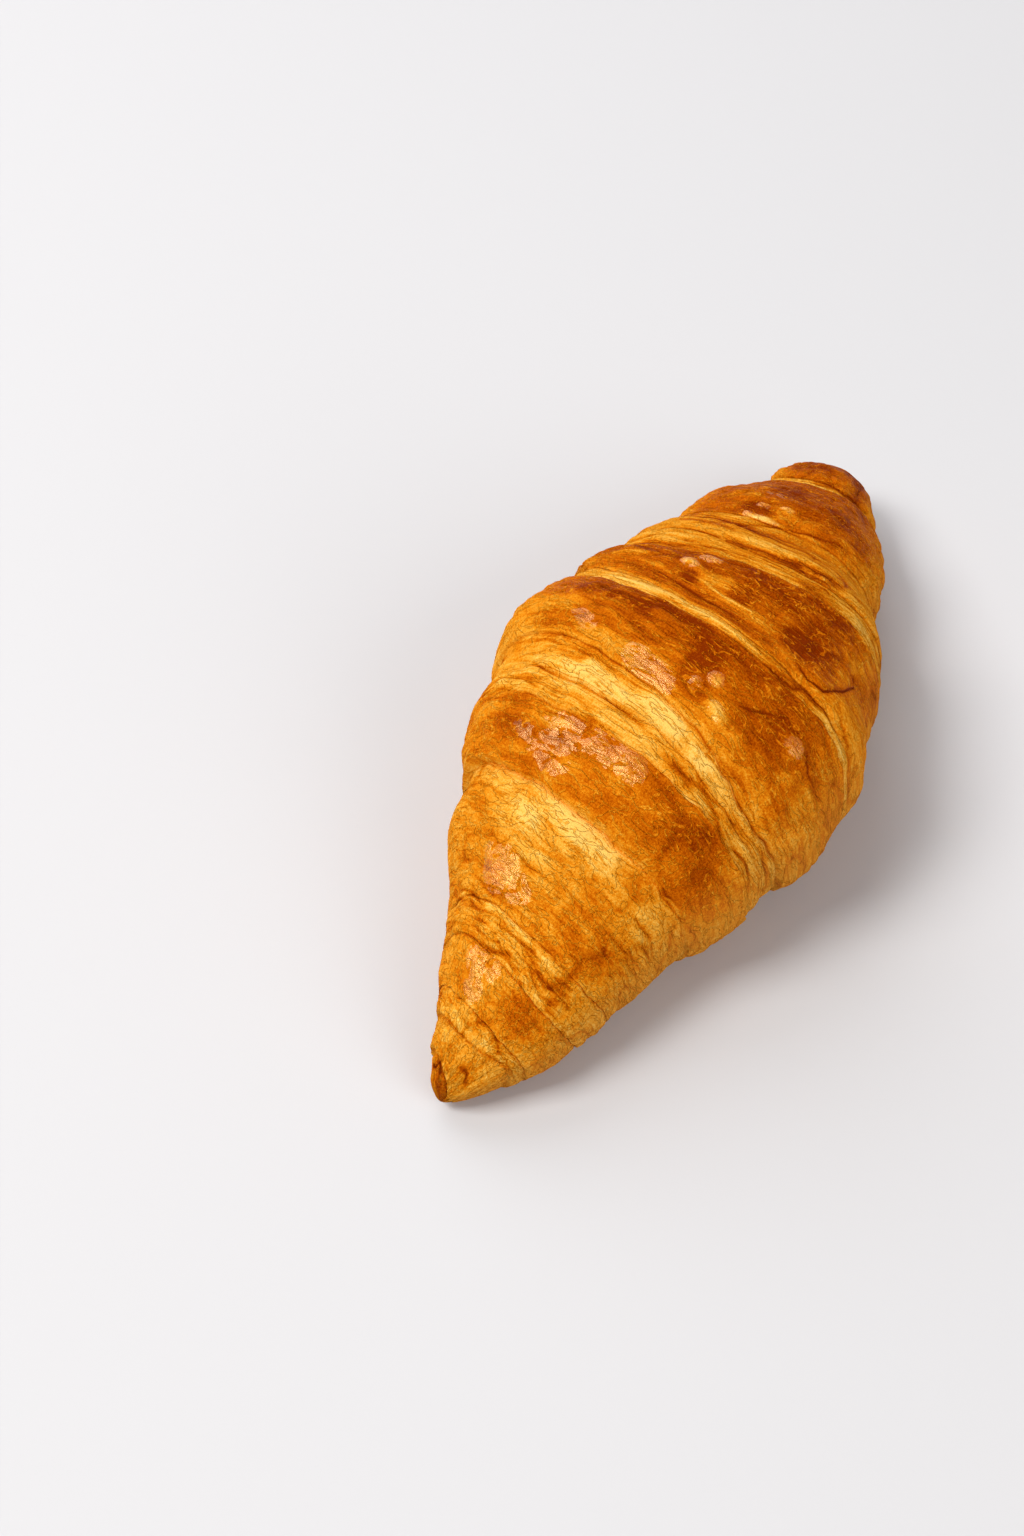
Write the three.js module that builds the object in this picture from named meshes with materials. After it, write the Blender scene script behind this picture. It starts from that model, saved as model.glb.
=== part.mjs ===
// A baked croissant, rolled from one sheet of dough, lying on its underside.
// Millimetres. X runs along the roll from the small near nub to the far tip, Y across it, Z up.
// The origin is on the resting plane, under the middle of the bounding box.

import * as THREE from 'three';

// Overall size
const halfLength = 91;
const heightToWidth = 0.66;

// The tips are a little taller for their width and lie a little off the table
const extraHeightAtTips = 0.16;
const extraHeightOnset = 2.5;
const tipLift = 2.5;
const tipLiftOnset = 4;

// Roundness of the ends and of the cross-section: a higher number is blunter
const nearBluntness = 12;
const farBluntness = 8;
const sectionFullness = 2.25;

// Share of the section's height at its widest line, above that line and below it
const widestLine = 0.44;
const upperShare = 0.56;
const lowerShare = 0.50;

// Half widths at even stations from the near nub to the far tip, on the +Y side and the -Y side
const leftWidths = [12, 12, 16, 20, 27, 29.5, 34.5, 36.5, 36.5, 35, 33, 30, 25.5, 23, 17.5, 16.5, 16];
const rightWidths = [4, 10.5, 15.5, 18.5, 24, 30, 35, 37, 40, 35, 33, 30.5, 23, 19.5, 15.5, 12, 9.5];

// Creases from the near nub to the far tip. Each runs once round the roll, and its place along X
// is given at the left side, the top, the right side and the underside. Skew leans it on the way.
const creases = [
  { left: -84, top: -89.2, right: -90.4, under: -88.5, skew: 0 },
  { left: -77.5, top: -83.5, right: -83, under: -81, skew: -0.5 },
  { left: -73.5, top: -80, right: -81, under: -77.5, skew: 0 },
  { left: -65.5, top: -71, right: -72, under: -67, skew: 1.5 },
  { left: -59.5, top: -63.5, right: -64.5, under: -61.5, skew: 2 },
  { left: -33, top: -41.5, right: -45, under: -40, skew: 0.5 },
  { left: -24.5, top: -28.5, right: -33.5, under: -30, skew: 1.5 },
  { left: -18.5, top: -22.5, right: -29, under: -23, skew: 2 },
  { left: -9.5, top: -16, right: -25, under: -15.5, skew: 3 },
  { left: 16, top: 0.2, right: -8, under: -2, skew: -1.5 },
  { left: 19, top: 6.5, right: -4, under: 5, skew: 0 },
  { left: 22.5, top: 23.5, right: 23.5, under: 23, skew: -1 },
  { left: 33, top: 31.5, right: 34, under: 34, skew: 1.5 },
  { left: 46, top: 46.5, right: 47.5, under: 47, skew: 0 },
  { left: 71, top: 70.5, right: 71, under: 71, skew: 0 },
  { left: 75.5, top: 74.5, right: 75, under: 75, skew: 0 },
];

// Bands of crust between the creases. Start and end are how far the crust stands out beside
// the creases, bulge is the extra swell between them, and steps is the number of mesh strips.
const bands = [
  { start: -0.6, end: -1.0, bulge: 0.2, steps: 3 }, // torn face of the near nub
  { start: 0.3, end: -1.2, bulge: 0.6, steps: 4 }, // near nub
  { start: 0.9, end: 0.3, bulge: 0.2, steps: 1 }, // rim of wrap 1
  { start: 0.5, end: -0.4, bulge: 0.6, steps: 3 }, // wrap 1
  { start: 0.5, end: 0.2, bulge: 0.2, steps: 2 }, // rim of wrap 2
  { start: 0.6, end: -1.5, bulge: 1.0, steps: 7 }, // wrap 2
  { start: 1.2, end: 0.7, bulge: 0.5, steps: 4 }, // crown of wrap 3
  { start: -0.1, end: -0.5, bulge: 0.4, steps: 2 }, // stretched part of wrap 3
  { start: -0.9, end: -1.4, bulge: 0.3, steps: 3 }, // tucked part of wrap 3
  { start: 1.0, end: 1.1, bulge: 1.0, steps: 7 }, // middle wrap
  { start: -0.2, end: -0.6, bulge: 0.6, steps: 2 }, // tucked rim of wrap 5
  { start: -0.4, end: 1.0, bulge: 0.9, steps: 5 }, // wrap 5
  { start: -0.8, end: -0.6, bulge: 0.4, steps: 3 }, // tucked rim of wrap 6
  { start: -0.4, end: 0.1, bulge: 0.6, steps: 3 }, // stretched part of wrap 6
  { start: 0.7, end: 0.9, bulge: 0.7, steps: 5 }, // crown of wrap 6
  { start: -0.8, end: -0.6, bulge: 0.3, steps: 1 }, // tucked rim of the far nub
  { start: -0.1, end: 0, bulge: 0.6, steps: 5 }, // far nub
];
const creaseWidth = 0.5;
const bulgeRoundness = 0.8;

// Uneven swelling of the dough: height, waves along each mm and round the roll, and the beat
// that breaks the waves up
const broadLump = { height: 0.35, rate: 0.115, round: 2, phase: 0.6, beatRate: -0.05, beatRound: 3 };
const fineLump = { height: 0.25, rate: 0.21, round: -3, phase: 1.9, beatRate: 0.09, beatRound: 2 };

// The relief is pressed flat on the underside, from a slight downward slope to a steep one,
// and fades out where the tips close
const flattening = 0.8;
const pressedFrom = 0.35;
const pressedFully = 0.85;
const tipFade = 1.3;

const columns = 72;

// Crust
const crustColour = 0xca7622;
const crustRoughness = 0.45;

// Smooth curve through values at even stations along the roll
function along(values, x) {
  const last = values.length - 1;
  const place = (THREE.MathUtils.clamp(x / halfLength, -1, 1) + 1) / 2 * last;
  const index = Math.min(Math.floor(place), last - 1);
  const before = values[Math.max(index - 1, 0)];
  const after = values[Math.min(index + 2, last)];
  const from = values[index];
  const to = values[index + 1];
  const t = place - index;
  const bend = t * (3 * (from - to) + after - before) + 2 * before - 5 * from + 4 * to - after;
  return from + 0.5 * t * (to - before + t * bend);
}

// Place of a crease along X at an angle round the roll: 0 is the +Y side, a quarter turn the top
function creasePlace(crease, angle) {
  const { left, top, right, under, skew } = crease;
  const middle = (left + top + right + under) / 4;
  const sideways = (left - right) / 2 * Math.cos(angle);
  const upward = (top - under) / 2 * Math.sin(angle);
  const folded = (left + right - top - under) / 4 * Math.cos(2 * angle);
  return middle + sideways + upward + folded + skew * Math.sin(2 * angle);
}

// Low waves that keep the wraps from being perfectly even
function lump({ height, rate, round, phase, beatRate, beatRound }, x, angle) {
  const wave = Math.sin(rate * x + round * angle + phase);
  const beat = Math.cos(beatRate * x + beatRound * angle);
  return height * wave * beat;
}

// Share of the relief that is left at an angle: all of it on top, little under the croissant
function reliefShare(angle) {
  return 1 - flattening * THREE.MathUtils.smoothstep(-Math.sin(angle), pressedFrom, pressedFully);
}

// Sine or cosine squared off into the fuller section of the roll
function squared(value) {
  return Math.sign(value) * Math.abs(value) ** (2 / sectionFullness);
}

// Point of the crust at a place along the roll, an angle round it and a relief level
function crustPoint(x, angle, level) {
  const reach = Math.abs(x) / halfLength;
  const bluntness = x < 0 ? nearBluntness : farBluntness;
  const taper = Math.sqrt(Math.max(1 - reach ** bluntness, 0));
  const left = along(leftWidths, x);
  const right = along(rightWidths, x);
  const halfWidth = (left + right) / 2 * taper;
  const height = 2 * halfWidth * (heightToWidth + extraHeightAtTips * reach ** extraHeightOnset);
  const uneven = lump(broadLump, x, angle) + lump(fineLump, x, angle);
  const relief = (level + uneven) * reliefShare(angle) * Math.min(1, tipFade * taper);
  const across = squared(Math.cos(angle));
  const upward = squared(Math.sin(angle));
  const share = upward > 0 ? upperShare : lowerShare;
  const y = (left - right) / 2 + (halfWidth + relief) * across;
  const z = Math.max(widestLine * height + (share * height + relief) * upward, 0);
  return [x, y, z + tipLift * reach ** tipLiftOnset];
}

// Even spread along a band, closing up towards the tip in the first and the last band
function spread(fraction, bandIndex) {
  if (bandIndex === 0) return 1 - Math.cos(fraction * Math.PI / 2);
  if (bandIndex === bands.length - 1) return Math.sin(fraction * Math.PI / 2);
  return fraction;
}

// One ring of points round the roll, following the creases on both sides of its band
function ringPoints(bandIndex, fraction) {
  const band = bands[bandIndex];
  const nearCrease = creases[bandIndex - 1];
  const farCrease = creases[bandIndex];
  const t = spread(fraction, bandIndex);
  const swell = band.bulge * Math.sin(Math.PI * t) ** bulgeRoundness;
  const level = THREE.MathUtils.lerp(band.start, band.end, t) + swell;
  const points = [];
  for (let column = 0; column < columns; column += 1) {
    const angle = column / columns * 2 * Math.PI;
    const from = nearCrease ? creasePlace(nearCrease, angle) + creaseWidth / 2 : -halfLength;
    const to = farCrease ? creasePlace(farCrease, angle) - creaseWidth / 2 : halfLength;
    points.push(crustPoint(THREE.MathUtils.lerp(from, to, t), angle, level));
  }
  return points;
}

// All rings from the near tip to the far tip, without the two tips themselves
function crustRings() {
  const rings = [];
  bands.forEach((band, bandIndex) => {
    for (let step = 0; step <= band.steps; step += 1) {
      const atNearTip = bandIndex === 0 && step === 0;
      const atFarTip = bandIndex === bands.length - 1 && step === band.steps;
      if (!atNearTip && !atFarTip) rings.push(ringPoints(bandIndex, step / band.steps));
    }
  });
  return rings;
}

// Closed skin over the rings: quads between neighbours and a fan of triangles at each tip
function crustGeometry() {
  const rings = crustRings();
  const positions = rings.flat(2);
  const nearTip = rings.length * columns;
  const farTip = nearTip + 1;
  positions.push(...crustPoint(-halfLength, 0, 0), ...crustPoint(halfLength, 0, 0));
  const triangles = [];
  for (let column = 0; column < columns; column += 1) {
    const next = (column + 1) % columns;
    for (let ring = 0; ring < rings.length - 1; ring += 1) {
      const here = ring * columns;
      const beyond = here + columns;
      triangles.push(here + column, here + next, beyond + next);
      triangles.push(here + column, beyond + next, beyond + column);
    }
    const lastRing = (rings.length - 1) * columns;
    triangles.push(nearTip, next, column);
    triangles.push(farTip, lastRing + column, lastRing + next);
  }
  const geometry = new THREE.BufferGeometry();
  geometry.setAttribute('position', new THREE.Float32BufferAttribute(positions, 3));
  geometry.setIndex(triangles);
  return geometry;
}

// Moves the underside to the resting plane and the middle of the box over the origin
function settle(geometry) {
  geometry.computeBoundingBox();
  const { min, max } = geometry.boundingBox;
  geometry.translate(-(min.x + max.x) / 2, -(min.y + max.y) / 2, -min.z);
  geometry.computeVertexNormals();
  return geometry;
}

const crust = new THREE.MeshStandardMaterial({
  color: crustColour,
  roughness: crustRoughness,
  metalness: 0,
});

const croissant = new THREE.Mesh(settle(crustGeometry()), crust);
croissant.name = 'croissant';

const model = new THREE.Group();
model.add(croissant);

export default model;
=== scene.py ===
import math

import bpy
import numpy as np
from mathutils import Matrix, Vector


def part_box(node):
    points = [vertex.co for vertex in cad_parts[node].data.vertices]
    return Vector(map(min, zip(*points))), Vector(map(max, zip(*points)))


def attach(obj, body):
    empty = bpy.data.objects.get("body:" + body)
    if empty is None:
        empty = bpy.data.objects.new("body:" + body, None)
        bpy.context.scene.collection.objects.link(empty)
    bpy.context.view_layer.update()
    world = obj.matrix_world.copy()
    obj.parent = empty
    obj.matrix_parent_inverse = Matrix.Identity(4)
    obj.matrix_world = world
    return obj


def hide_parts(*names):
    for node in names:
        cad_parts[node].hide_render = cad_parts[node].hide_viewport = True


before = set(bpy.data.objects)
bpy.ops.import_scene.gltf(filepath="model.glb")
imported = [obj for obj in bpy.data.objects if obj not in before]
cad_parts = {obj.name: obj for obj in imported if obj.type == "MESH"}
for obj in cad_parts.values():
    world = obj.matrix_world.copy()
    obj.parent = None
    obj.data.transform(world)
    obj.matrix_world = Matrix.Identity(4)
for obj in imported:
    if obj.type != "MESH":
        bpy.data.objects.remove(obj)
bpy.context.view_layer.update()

mm = 0.001

# The roll of dough, in millimetres. Left is the +Y side and right the -Y side.
roll = {
    "halfLength": 91.0,
    "tipLift": 2.5,
    "tipLiftOnset": 4,
    "heightToWidth": 0.66,
    "extraHeightAtTips": 0.16,
    "extraHeightOnset": 2.5,
    "nearBluntness": 12.0,    # a higher number is blunter
    "farBluntness": 8.0,
    "sectionFullness": 2.25,
    "widestLine": 0.44,       # share of the section's height at its widest line
    "upperShare": 0.56,       # and above that line and below it
    "lowerShare": 0.50,
    "flattening": 0.8,        # how far the relief is pressed flat underneath
    "pressedFrom": 0.35,      # from a slight downward slope to a steep one
    "pressedFully": 0.85,
    "tipFade": 1.3,
    "bulgeRoundness": 0.8,
    "leftWidths": [12, 12, 16, 20, 27, 29.5, 34.5, 36.5, 36.5, 35, 33, 30, 25.5, 23, 17.5, 16.5, 16],
    "rightWidths": [4, 10.5, 15.5, 18.5, 24, 30, 35, 37, 40, 35, 33, 30.5, 23, 19.5, 15.5, 12, 9.5],
}

# Uneven swelling of the dough: height, waves along each mm and round the roll, and the beat that
# breaks the waves up
swellings = [
    {"height": 0.35, "rate": 0.115, "round": 2, "phase": 0.6, "beatRate": -0.05, "beatRound": 3},
    {"height": 0.25, "rate": 0.21, "round": -3, "phase": 1.9, "beatRate": 0.09, "beatRound": 2},
]

# Creases from the near nub to the far tip: place at the left, the top, the right and underneath, how
# the crease leans on its way, and how sharply its edge is cut at the left, the top and the right
creases = [
    {"place": (-84.0, -89.2, -90.4, -88.5), "skew": 0.0, "cut": (0.9, 0.8, 0.8)},
    {"place": (-77.5, -83.5, -83.0, -81.0), "skew": -0.5, "cut": (0.7, 0.2, 0.5)},
    {"place": (-73.5, -80.0, -81.0, -77.5), "skew": 0.0, "cut": (0.6, 0.2, 0.4)},
    {"place": (-65.5, -71.0, -72.0, -67.0), "skew": 1.5, "cut": (0.6, 0.3, 0.5)},
    {"place": (-59.5, -63.5, -64.5, -61.5), "skew": 2.0, "cut": (0.4, 0.15, 0.4)},
    {"place": (-33.0, -41.5, -45.0, -40.0), "skew": 0.5, "cut": (0.9, 0.8, 0.3)},
    {"place": (-24.5, -28.5, -33.5, -30.0), "skew": 1.5, "cut": (0.3, 0.4, 1.0)},
    {"place": (-18.5, -22.5, -29.0, -23.0), "skew": 2.0, "cut": (0.4, 0.3, 0.5)},
    {"place": (-9.5, -16.0, -25.0, -15.5), "skew": 3.0, "cut": (0.2, 0.15, 0.5)},
    {"place": (16.0, 0.2, -8.0, -2.0), "skew": -1.5, "cut": (0.7, 1.0, 0.9)},
    {"place": (19.0, 6.5, -4.0, 5.0), "skew": 0.0, "cut": (0.5, 0.4, 0.5)},
    {"place": (22.5, 23.5, 23.5, 23.0), "skew": -1.0, "cut": (0.8, 0.8, 0.9)},
    {"place": (33.0, 31.5, 34.0, 34.0), "skew": 1.5, "cut": (0.3, 0.3, 0.4)},
    {"place": (46.0, 46.5, 47.5, 47.0), "skew": 0.0, "cut": (0.2, 0.1, 0.2)},
    {"place": (71.0, 70.5, 71.0, 71.0), "skew": 0.0, "cut": (0.7, 0.6, 0.8)},
    {"place": (75.5, 74.5, 75.0, 75.0), "skew": 0.0, "cut": (0.3, 0.2, 0.3)},
]

# Bands of crust between the creases. level is how far the crust stands out at its start and end, and
# bulge the swell between. brown is how dark it baked at its start, middle and end, from 0 to 1.
# layers is how much of the dough's fine layers shows there, and strands the number of thick ones.
bands = [
    # torn face of the near nub
    {"level": (-0.4, -1.2), "bulge": 0.2, "brown": (0.7, 0.65, 0.8),
     "layers": 0.3, "strands": 0, "rings": 14},
    # near nub
    {"level": (0.3, -1.2), "bulge": 0.6, "brown": (0.5, 0.36, 0.42),
     "layers": 0.4, "strands": 0, "rings": 18},
    # rim of wrap 1
    {"level": (0.9, 0.3), "bulge": 0.2, "brown": (0.34, 0.36, 0.45),
     "layers": 0.9, "strands": 2, "rings": 9},
    # wrap 1
    {"level": (0.5, -0.4), "bulge": 0.6, "brown": (0.45, 0.5, 0.45),
     "layers": 0.3, "strands": 0, "rings": 20},
    # rim of wrap 2
    {"level": (0.5, 0.2), "bulge": 0.2, "brown": (0.36, 0.4, 0.46),
     "layers": 1.0, "strands": 4, "rings": 19},
    # wrap 2
    {"level": (0.6, -1.5), "bulge": 1.0, "brown": (0.5, 0.46, 0.2),
     "layers": 0.6, "strands": 0, "rings": 46},
    # crown of wrap 3
    {"level": (1.2, 0.9), "bulge": 0.5, "brown": (0.62, 0.55, 0.64),
     "layers": 0.35, "strands": 0, "rings": 30},
    # stretched part of wrap 3
    {"level": (-0.1, -0.5), "bulge": 0.4, "brown": (0.36, 0.26, 0.34),
     "layers": 0.9, "strands": 2, "rings": 14},
    # tucked part of wrap 3
    {"level": (-0.9, -1.4), "bulge": 0.3, "brown": (0.34, 0.24, 0.36),
     "layers": 0.9, "strands": 2, "rings": 15},
    # middle wrap
    {"level": (1.0, 1.1), "bulge": 1.0, "brown": (0.36, 0.62, 0.82),
     "layers": 0.4, "strands": 0, "rings": 43},
    # tucked rim of wrap 5
    {"level": (-0.2, -0.6), "bulge": 0.6, "brown": (0.42, 0.3, 0.4),
     "layers": 1.2, "strands": 5, "rings": 18},
    # wrap 5
    {"level": (-0.4, 1.0), "bulge": 0.9, "brown": (0.46, 0.7, 0.82),
     "layers": 0.4, "strands": 0, "rings": 38},
    # tucked rim of wrap 6
    {"level": (-0.8, -0.6), "bulge": 0.4, "brown": (0.5, 0.36, 0.42),
     "layers": 0.8, "strands": 4, "rings": 20},
    # stretched part of wrap 6
    {"level": (-0.4, 0.1), "bulge": 0.6, "brown": (0.46, 0.42, 0.52),
     "layers": 0.9, "strands": 3, "rings": 26},
    # crown of wrap 6
    {"level": (0.7, 0.9), "bulge": 0.7, "brown": (0.56, 0.66, 0.74),
     "layers": 0.45, "strands": 0, "rings": 40},
    # tucked rim of the far nub
    {"level": (-0.8, -0.6), "bulge": 0.3, "brown": (0.45, 0.3, 0.4),
     "layers": 1.0, "strands": 2, "rings": 9},
    # far nub
    {"level": (-0.1, 0.0), "bulge": 0.6, "brown": (0.6, 0.7, 0.65),
     "layers": 0.5, "strands": 0, "rings": 24},
]

# Browned and pale places: mm along the roll, degrees round it, reach in mm and degrees, added brown.
# Pale places are swollen too.
marks = [
    # near nub and wrap 1
    (-86.5, 75, 1.6, 16, 0.12), (-85.5, 118, 1.6, 14, 0.12), (-84, 56, 2, 16, -0.1),
    (-77, 122, 3, 28, 0.18), (-71, 100, 2, 10, 0.14), (-72.5, 136, 2, 12, 0.14),
    (-72.6, 70, 3, 25, -0.05), (-71.8, 138, 3, 14, 0.05), (-65.5, 128, 3, 18, 0.05),
    (-64.8, 86, 2.2, 22, -0.34), (-61.4, 84, 1.6, 8, -0.15), (-68.5, 118, 2, 14, -0.12),
    # wrap 2
    (-64.8, 44, 2.4, 14, -0.2), (-58.3, 37, 3, 10, -0.22), (-66.6, 72, 1.5, 8, -0.15),
    (-61, 146, 4, 14, 0.16), (-58, 87, 5, 18, -0.06), (-59, 108, 3, 9, 0.15), (-41, 66, 1.5, 8, 0.15),
    (-53, 152, 1.5, 14, -0.15), (-48.5, 72, 4, 16, -0.34), (-53.5, 88, 2.4, 8, -0.15),
    (-45.6, 58, 2, 8, -0.1), (-55, 103, 4, 10, -0.1), (-47, 106, 3, 9, -0.25), (-42.4, 110, 2, 7, -0.12),
    (-46.7, 128, 3, 12, 0.25), (-44.5, 89, 3, 9, -0.25), (-44.2, 72, 2.4, 8, -0.2),
    (-42.5, 55, 3, 11, -0.2), (-42.4, 67, 1.6, 6, 0.12), (-39, 30, 3, 14, -0.1),
    # wrap 3
    (-41.5, 154, 5, 16, 0.3), (-38.4, 92, 2.2, 25, 0.12), (-37.7, 119, 4, 9, 0.05),
    (-37, 140, 6, 16, 0.28), (-35.5, 124, 2.4, 8, -0.12), (-32.8, 52, 2.2, 14, -0.2),
    (-31, 141, 3, 10, 0.15), (-28.6, 110, 2, 9, 0.3), (-32.1, 108, 2, 7, 0.15),
    (-28.6, 176, 5, 12, -0.36), (-36.2, 79, 2, 8, -0.15), (-27.1, 80, 1.5, 6, -0.15),
    (-27.8, 130, 2.5, 8, -0.1), (-24.1, 126, 1.9, 10, -0.4), (-22.7, 56, 1.6, 8, -0.15),
    (-27.2, 66, 2, 12, -0.18), (-24.2, 113, 2, 5, -0.25), (-21, 144, 2.4, 9, 0.2),
    (-30, 47, 2.6, 14, 0.35), (-31.7, 72, 1.5, 7, 0.12), (-23.5, 151, 2.4, 10, 0.25),
    (-20.8, 39, 1.1, 3.5, -0.4), (-20.4, 97, 2.2, 6, -0.35), (-20, 87, 1.1, 3, -0.12),
    (-17.6, 72, 2, 12, -0.28),
    # middle wrap
    (-13, 139, 5, 12, 0.2), (-13.6, 90, 2, 6, 0.15), (-15.2, 102, 2, 5, 0.2), (-6, 66, 2, 8, 0.12),
    (-13.6, 121, 4, 10, 0.08), (-12.8, 137, 1.4, 4, -0.3), (-18, 142, 1.2, 4, -0.25),
    (-11, 99, 4, 6, 0.3), (-1.8, 124, 3, 14, 0.18), (-1.8, 138, 2, 7, 0.15), (-13.2, 69, 1.6, 9, -0.15),
    (-16.4, 110, 1.2, 4, -0.35), (-10.8, 105, 1.3, 2, -0.4), (-13.4, 101, 1.3, 1.6, -0.35),
    (-7.1, 67, 3, 14, -0.1), (-7.1, 109, 2, 5, -0.18), (-9, 119, 2.4, 7, -0.15),
    (-3.5, 47, 2.4, 10, -0.15), (-3.4, 88, 1.8, 6, -0.28), (-5.1, 100, 3, 22, 0.12),
    (-5, 48, 6, 14, 0.12), (-0.2, 77, 3, 22, 0.1), (2.6, 44, 2.5, 18, 0.15),
    # wrap 5
    (10, 121, 2.6, 7, 0.3), (13.6, 83, 1.8, 3, 0.35), (14, 98, 2, 4, 0.25), (22, 98, 1.6, 5, 0.12),
    (13.2, 128, 4, 12, 0.2), (18.4, 80, 1.6, 3, -0.5), (21.4, 84, 1, 4, -0.3), (16, 90, 2, 4, -0.15),
    (20, 50, 2.5, 20, 0.05), (19.6, 108, 2, 10, 0.12), (18.4, 56, 2.2, 10, -0.32),
    (14.8, 72, 1.6, 6, -0.12), (18, 146, 3, 8, -0.1),
    # wrap 6
    (26.3, 74, 3, 14, 0.2), (27.5, 118, 3, 14, 0.24), (32.1, 112, 4, 14, 0.15), (37.7, 72, 3, 16, 0.15),
    (28, 145, 4, 10, -0.25), (49, 160, 4, 10, -0.12), (36, 90, 3, 10, -0.12), (47, 84, 0.9, 6, -0.4),
    (51.4, 82, 0.8, 3, -0.4), (52.5, 92, 0.9, 3, -0.4), (50.2, 80, 2.2, 8, 0.35), (62, 84, 4, 12, 0.12),
    (54.1, 44, 5, 20, 0.08), (57, 126, 5, 22, 0.12), (50, 118, 3, 10, 0.15), (58, 98, 6, 24, 0.1),
    (71.3, 76, 1.6, 30, -0.2), (82.1, 68, 5, 40, 0.1), (84, 130, 5, 25, 0.1),
]

# Folds and torn layers: depth in mm, added brown, half width in mm, and the path in mm along the roll
# and degrees round it. A fold of less than no depth is a raised ridge.
folds = [
    (0.35, 0.3, 0.8, [(-56, 20), (-58.5, 40), (-61.5, 62)]),
    (0.25, 0.16, 0.5, [(-56.5, 46), (-59, 64), (-61.5, 82), (-63, 96)]),
    (0.4, 0.3, 0.5, [(-67.5, 64), (-69, 80), (-71, 97)]),
    (0.2, 0.14, 0.5, [(-64, 72), (-66, 88), (-67.5, 104)]),
    (0.35, 0.22, 0.9, [(-56, 124), (-56.5, 145), (-56, 175)]),
    (0.35, 0.22, 0.8, [(-51, 134), (-51.5, 152), (-51, 172)]),
    (0.2, 0.16, 0.7, [(-41, 18), (-44, 36), (-47.5, 52)]),
    (0.25, 0.18, 0.7, [(-44, 79), (-47.5, 91), (-51, 112)]),
    (0.38, 0.24, 0.6, [(-13, 30), (-16, 46), (-19.5, 64), (-22, 84), (-25, 100), (-26.8, 110)]),
    (0.32, 0.22, 0.6, [(-8.5, 28), (-10.5, 52), (-13, 72), (-17, 90), (-20, 104)]),
    (0.3, 0.25, 0.6, [(-20.5, 44), (-22.5, 56), (-24.5, 70)]),
    (0.2, 0.15, 0.5, [(-16, 56), (-18.5, 72), (-20.5, 82)]),
    (0.4, 0.2, 0.5, [(-22.5, 114), (-24, 128), (-26, 144), (-28, 156)]),
    (0.35, 0.25, 0.5, [(-21.5, 106), (-24, 120), (-26.5, 140)]),
    (0.3, 0.25, 0.8, [(-27.5, 106), (-29, 126), (-28.5, 160)]),
    (0.3, 0.25, 0.5, [(-13, 114), (-11, 122), (-8.5, 130)]),
    (0.3, 0.25, 0.7, [(-11, 142), (-14, 148), (-15, 162)]),
    (-0.35, -0.25, 0.9, [(15, 82), (13.2, 90), (11.6, 96), (10.4, 108)]),
    (0.35, 0.25, 0.5, [(15.5, 66), (13, 76), (10, 90), (7, 102)]),
    (0.3, 0.25, 0.5, [(35, 62), (41, 78), (46.5, 92), (49, 112), (53, 150)]),
    (0.35, 0.25, 0.5, [(26, 70), (27.5, 84), (28.5, 100), (28, 122)]),
    (0.3, 0.2, 0.6, [(33, 98), (32, 118), (32.5, 146)]),
    (-0.3, -0.2, 0.8, [(44, 72), (46.6, 82), (49.5, 92)]),
    # cracks
    (0.4, 0.5, 0.5, [(5, 121), (2.2, 127), (2, 134), (6, 142), (12, 150), (15.6, 148)]),
    (0.4, 0.45, 0.4, [(-31.9, 146), (-31.5, 172)]),
    (0.4, 0.45, 0.4, [(-27.4, 160), (-28, 181)]),
    (0.25, 0.3, 0.4, [(-45, 139), (-45.4, 158)]),
    (0.3, 0.3, 0.4, [(-53.2, 154), (-52.8, 174)]),
    (0.25, 0.2, 0.4, [(0.5, 140), (-3, 158), (-4, 178)]),
    (0.5, 0.5, 0.5, [(-88.0, 16), (-87.5, 48), (-88.6, 72)]),
    (0.4, 0.45, 0.4, [(-87, 96), (-88.4, 150)]),
]

# Raised blisters and wrinkles: place and reach as above, height in mm
blisters = [
    (7.5, 136, 7, 13, 0.5), (-72.6, 72, 2.6, 10, 0.4), (-74.8, 88, 2.2, 9, 0.35), (-70.5, 58, 2, 8, 0.3),
    (-56.1, 70, 5, 14, 0.3), (-30.1, 89, 2.6, 8, 0.4), (-34, 72, 2.2, 9, 0.35), (-32.1, 97, 2, 5, 0.4),
    (-29.5, 60, 1.5, 9, 0.35), (-13, 88, 3, 7, 0.35), (60, 110, 3, 10, 0.3), (82, 92, 3, 18, 0.3),
]

# Smooth egg-washed places that mirror the window: place and reach as above, strength
sheens = [
    (-72, 66, 3.0, 10, 1.0), (-72.3, 81, 2.2, 6, 1.0), (-75.7, 69, 2.0, 9, 0.9),
    (-55.2, 66, 4.4, 12, 1.0), (-57.4, 77, 3.6, 10, 0.9), (-29.4, 75, 2.6, 10, 0.9),
    (-30.1, 88, 2.9, 8, 1.0), (-32.1, 96, 2.8, 5, 1.1), (-34, 71, 2.8, 10, 0.9), (-30.9, 58, 1.4, 6, 0.9),
    (-12.8, 85, 2.8, 5, 1.1), (-14.4, 92, 2.6, 4, 1.1), (-7.1, 64, 1.8, 6, 0.8),
    (-13.4, 101, 1.4, 1.8, 1.1), (-10.8, 105, 1.6, 2.4, 1.1), (-16.4, 110, 1.6, 3.6, 1.0),
    (18.4, 80, 1.8, 3, 1.1), (21.4, 84, 1.2, 4, 1.0), (47.0, 84, 1.1, 7, 1.1), (51.4, 82, 0.9, 3.6, 1.1),
    (52.5, 92, 1.0, 3.4, 1.1), (57, 80, 1.2, 8, 0.7), (-12.8, 137, 1.4, 4, 0.7),
]

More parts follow.
